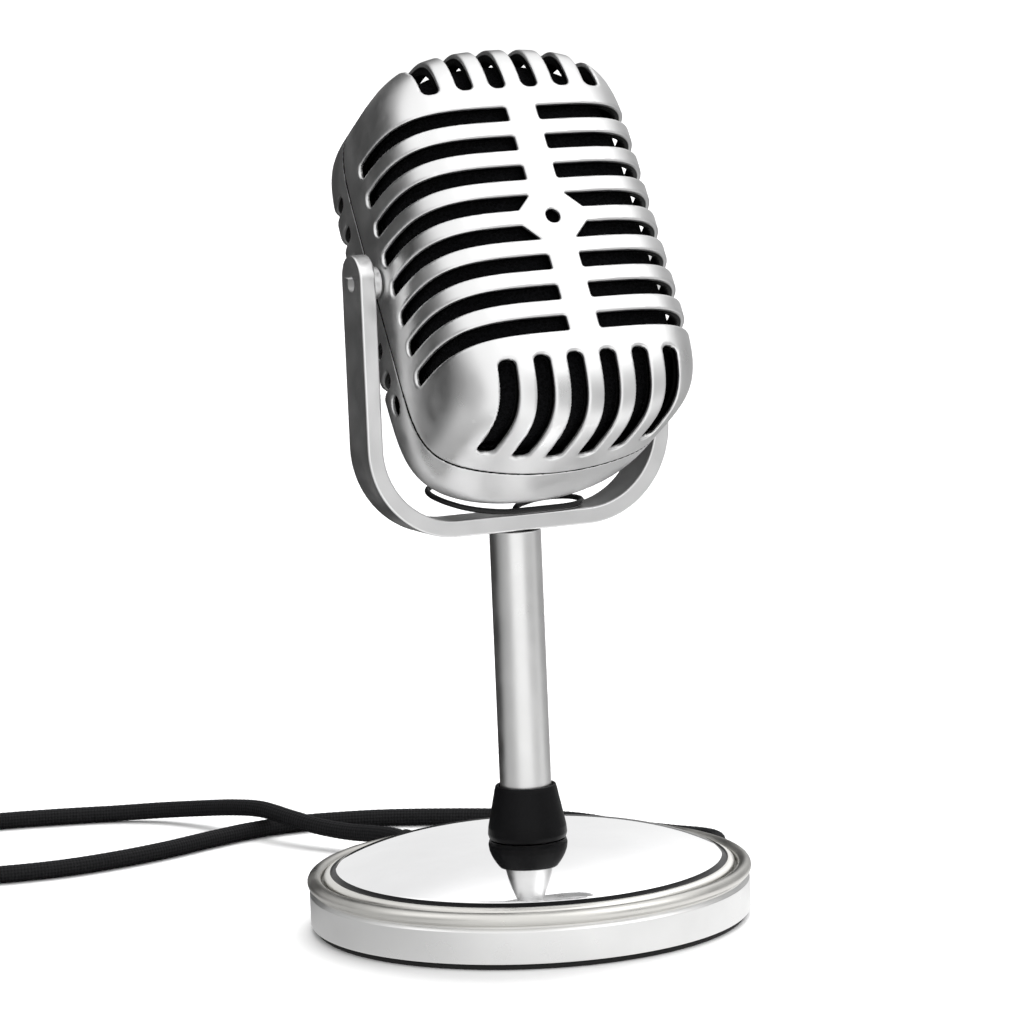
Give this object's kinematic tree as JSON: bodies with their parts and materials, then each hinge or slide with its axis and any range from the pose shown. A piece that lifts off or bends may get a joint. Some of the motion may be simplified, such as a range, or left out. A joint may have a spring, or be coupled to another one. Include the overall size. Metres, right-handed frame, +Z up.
{
  "type": "desktop microphone",
  "caption": "Desktop microphone: a slotted metal head that tilts in a U yoke, on a short stem and a weighted round base, with a corded plug.",
  "frame": {"origin": "the middle of the base's underside, on the surface that the microphone stands on", "axes": "+Z up along the stem, -Y to the front of the microphone, +X to the right as seen from behind it"},
  "size_m": [0.2146, 0.2158, 0.1847],
  "materials": {
    "satin_metal": "satin",
    "polished_metal": "polished",
    "satin_chrome": "satin",
    "zinc_steel": "satin",
    "black_plastic": "satin",
    "black_rubber": "matte",
    "braid": "matte",
    "foam": "matte",
    "capsule_can": "satin",
    "gold_plate": "polished"
  },
  "bodies": {
    "stand": {"base_body": "satin_metal", "base_dome_plate": "polished_metal", "base_weight": "zinc_steel", "bottom_cover": "black_plastic", "cover_screw_1": "zinc_steel", "cover_screw_2": "zinc_steel", "cover_screw_3": "zinc_steel", "foot_ring": "black_rubber", "stem_tube": "satin_metal", "stem_boot": "black_plastic", "stem_washer": "zinc_steel", "stem_nut": "zinc_steel", "swivel_bush": "black_plastic", "strain_relief": "black_rubber", "stem_lead": "black_rubber", "cord_from_base": "braid", "cord_to_plug": "braid", "cord_coil": "braid", "coil_tie": "black_rubber", "plug_grip": "black_plastic", "plug_pin": "gold_plate"},
    "yoke": {"yoke": "satin_chrome", "swivel_bolt": "zinc_steel", "swivel_nut": "zinc_steel", "pivot_stud_left": "zinc_steel", "pivot_stud_right": "zinc_steel", "pivot_spacer_left": "polished_metal", "pivot_spacer_right": "polished_metal", "head_lead": "black_rubber"},
    "head": {"front_shell": "satin_chrome", "rear_shell": "satin_chrome", "chassis_ring": "zinc_steel", "foam_core": "foam", "capsule": "capsule_can", "capsule_sleeve": "black_rubber", "pivot_nut_left": "zinc_steel", "pivot_nut_right": "zinc_steel", "side_screw_left": "zinc_steel", "side_screw_right": "zinc_steel"}
  },
  "joints": [
    {"name": "yoke_swivel", "type": "hinge", "parent": "stand", "child": "yoke", "pos_m": [0, 0, 0.0845], "axis": [0, 0, 1], "range_deg": [-90, 90]},
    {"name": "head_tilt", "type": "hinge", "parent": "yoke", "child": "head", "pos_m": [0, 0, 0.1387], "axis": [1, 0, 0], "range_deg": [-14.6, 45.4], "deforming": ["head_lead"]}
  ]
}
